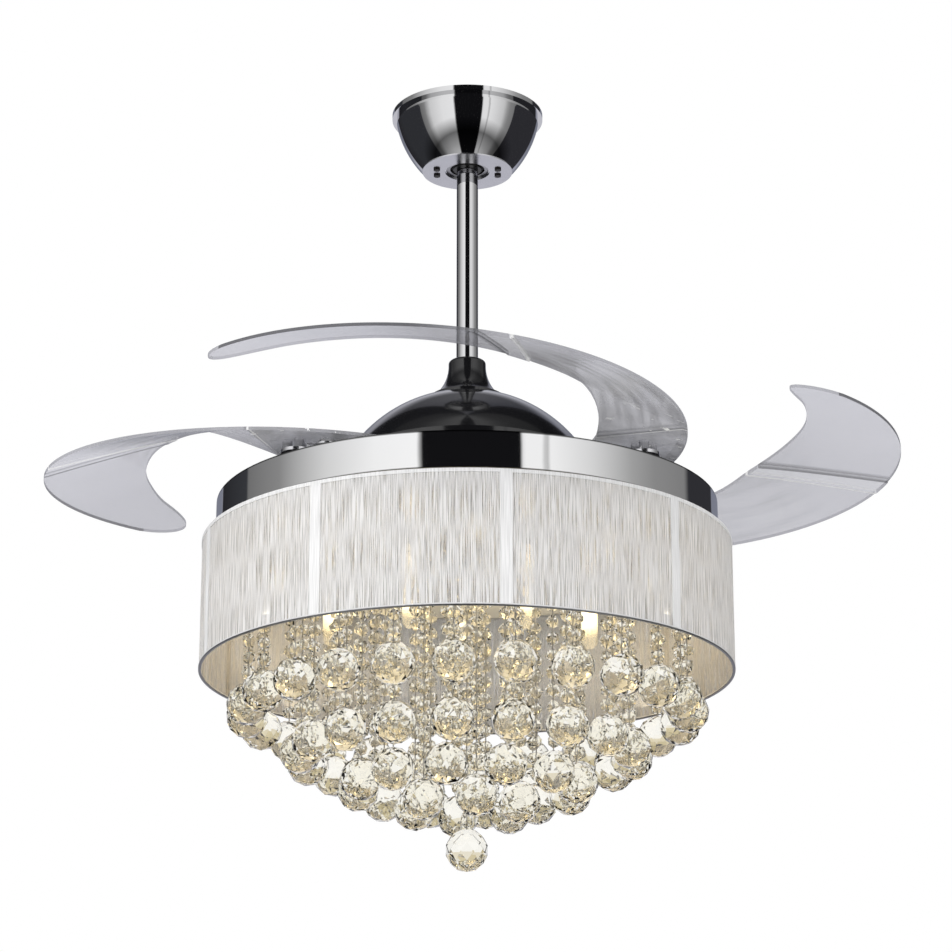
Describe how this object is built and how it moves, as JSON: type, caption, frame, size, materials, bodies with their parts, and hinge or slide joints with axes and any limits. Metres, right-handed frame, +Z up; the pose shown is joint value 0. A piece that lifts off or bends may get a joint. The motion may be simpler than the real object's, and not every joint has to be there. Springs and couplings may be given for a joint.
{
  "type": "retractable blade ceiling fan",
  "caption": "Ceiling fan on a downrod with clear crescent blades that swing out and fold back over a drum light with a thread shade and hanging crystal balls",
  "frame": {"origin": "centre of the ceiling plate, on the ceiling", "axes": "+Z up; the two ceiling screws lie along X; the camera of the picture looks along +Y and up"},
  "size_m": [0.816, 0.816, 0.757],
  "materials": {
    "zinc_steel": "zinc plated",
    "dark_screws": "blackened",
    "canopy_chrome": "polished",
    "canopy_plate": "satin",
    "ball_plastic": "moulded",
    "rod_chrome": "polished",
    "yoke_cast": "painted",
    "ground_steel": "ground",
    "black_gloss": "high gloss black",
    "core_sheets": "varnished sheets",
    "copper_coils": "varnished copper wire",
    "rotor_cast": "as cast",
    "magnet_ring": "ground",
    "tray_steel": "silver",
    "gear_plastic": "moulded",
    "arm_metal": "stamped steel, silver",
    "blade_clear": "clear, faintly smoky",
    "blade_screw_chrome": "polished",
    "carrier_steel": "silver",
    "band_chrome": "mirror polished",
    "pan_mirror": "bright",
    "cap_chrome": "polished",
    "driver_plastic": "moulded",
    "socket_ceramic": "glazed",
    "bulb_glass": "frosted, lit",
    "film_clear": "clear film",
    "threads": "fine upright threads",
    "strip_white": "white tape",
    "hoop_metal": "grey",
    "bead_crystal": "cut beads",
    "ball_crystal": "cut crystal"
  },
  "bodies": {
    "ceiling": {"ceiling_bracket": "zinc_steel", "canopy": "canopy_chrome", "canopy_cover_plate": "canopy_plate", "canopy_screws": "dark_screws"},
    "hanger": {"hanger_ball": "ball_plastic", "downrod": "rod_chrome", "rod_pins": "zinc_steel", "yoke": "yoke_cast", "yoke_screws": "zinc_steel", "motor_shaft": "ground_steel", "motor_dome": "black_gloss", "dome_screws": "zinc_steel", "stator_core": "core_sheets", "stator_coils": "copper_coils", "bearing_inner_races": "ground_steel", "bearing_balls": "ground_steel", "drum_carrier": "carrier_steel", "shaft_nut": "zinc_steel", "chrome_band": "band_chrome", "light_pan": "pan_mirror", "pan_spacers": "zinc_steel", "drum_screws": "zinc_steel", "centre_cap": "cap_chrome", "driver_boxes": "driver_plastic", "lamp_sockets": "socket_ceramic", "bulbs": "bulb_glass", "shade_film": "film_clear", "shade_threads": "threads", "shade_strips": "strip_white", "shade_top_hoop": "strip_white", "shade_bottom_hoop": "hoop_metal", "bead_strands": "bead_crystal", "outer_crystals": "ball_crystal", "middle_crystals": "ball_crystal", "inner_crystals": "ball_crystal", "finial_crystal": "ball_crystal"},
    "cover": {"coupling_cover": "black_gloss"},
    "rotor": {"rotor_top": "rotor_cast", "rotor_bottom": "rotor_cast", "rotor_ring": "magnet_ring", "bearing_outer_races": "ground_steel", "blade_tray": "tray_steel", "tray_screws": "zinc_steel", "pivot_pins": "zinc_steel", "pivot_nuts": "zinc_steel", "return_springs": "zinc_steel", "sync_retainer": "tray_steel"},
    "sync": {"sync_ring": "gear_plastic"},
    "blade_1_body": {"blade_1": "blade_clear", "blade_arm_1": "arm_metal", "blade_screws_1": "blade_screw_chrome"},
    "blade_2_body": {"blade_2": "blade_clear", "blade_arm_2": "arm_metal", "blade_screws_2": "blade_screw_chrome"},
    "blade_3_body": {"blade_3": "blade_clear", "blade_arm_3": "arm_metal", "blade_screws_3": "blade_screw_chrome"},
    "blade_4_body": {"blade_4": "blade_clear", "blade_arm_4": "arm_metal", "blade_screws_4": "blade_screw_chrome"}
  },
  "joints": [
    {"name": "hanger_tilt", "type": "hinge", "parent": "ceiling", "child": "hanger", "pos_m": [0, 0, -0.036], "axis": [1, 0, 0], "range_deg": [-10, 10]},
    {"name": "cover_slide", "type": "slide", "parent": "hanger", "child": "cover", "axis": [0, 0, 1], "range_m": [0, 0.15]},
    {"name": "rotor_spin", "type": "hinge", "parent": "hanger", "child": "rotor", "pos_m": [0, 0, -0.36], "axis": [0, 0, 1], "continuous": true},
    {"name": "sync_turn", "type": "hinge", "parent": "rotor", "child": "sync", "pos_m": [0, 0, -0.404], "axis": [0, 0, 1], "range_deg": [0, 8.67]},
    {"name": "blade_1_fold", "type": "hinge", "parent": "rotor", "child": "blade_1_body", "pos_m": [0.16176, -0.12593, -0.39], "axis": [0, 0, 1], "range_deg": [-50.6, 0]},
    {"name": "blade_2_fold", "type": "hinge", "parent": "rotor", "child": "blade_2_body", "pos_m": [0.12593, 0.16176, -0.39], "axis": [0, 0, 1], "range_deg": [-50.6, 0]},
    {"name": "blade_3_fold", "type": "hinge", "parent": "rotor", "child": "blade_3_body", "pos_m": [-0.16176, 0.12593, -0.39], "axis": [0, 0, 1], "range_deg": [-50.6, 0]},
    {"name": "blade_4_fold", "type": "hinge", "parent": "rotor", "child": "blade_4_body", "pos_m": [-0.12593, -0.16176, -0.39], "axis": [0, 0, 1], "range_deg": [-50.6, 0]}
  ],
  "couplings": [
    {"joint": "blade_1_fold", "follows": "sync_turn", "ratio": -5.8333},
    {"joint": "blade_2_fold", "follows": "sync_turn", "ratio": -5.8333},
    {"joint": "blade_3_fold", "follows": "sync_turn", "ratio": -5.8333},
    {"joint": "blade_4_fold", "follows": "sync_turn", "ratio": -5.8333}
  ]
}
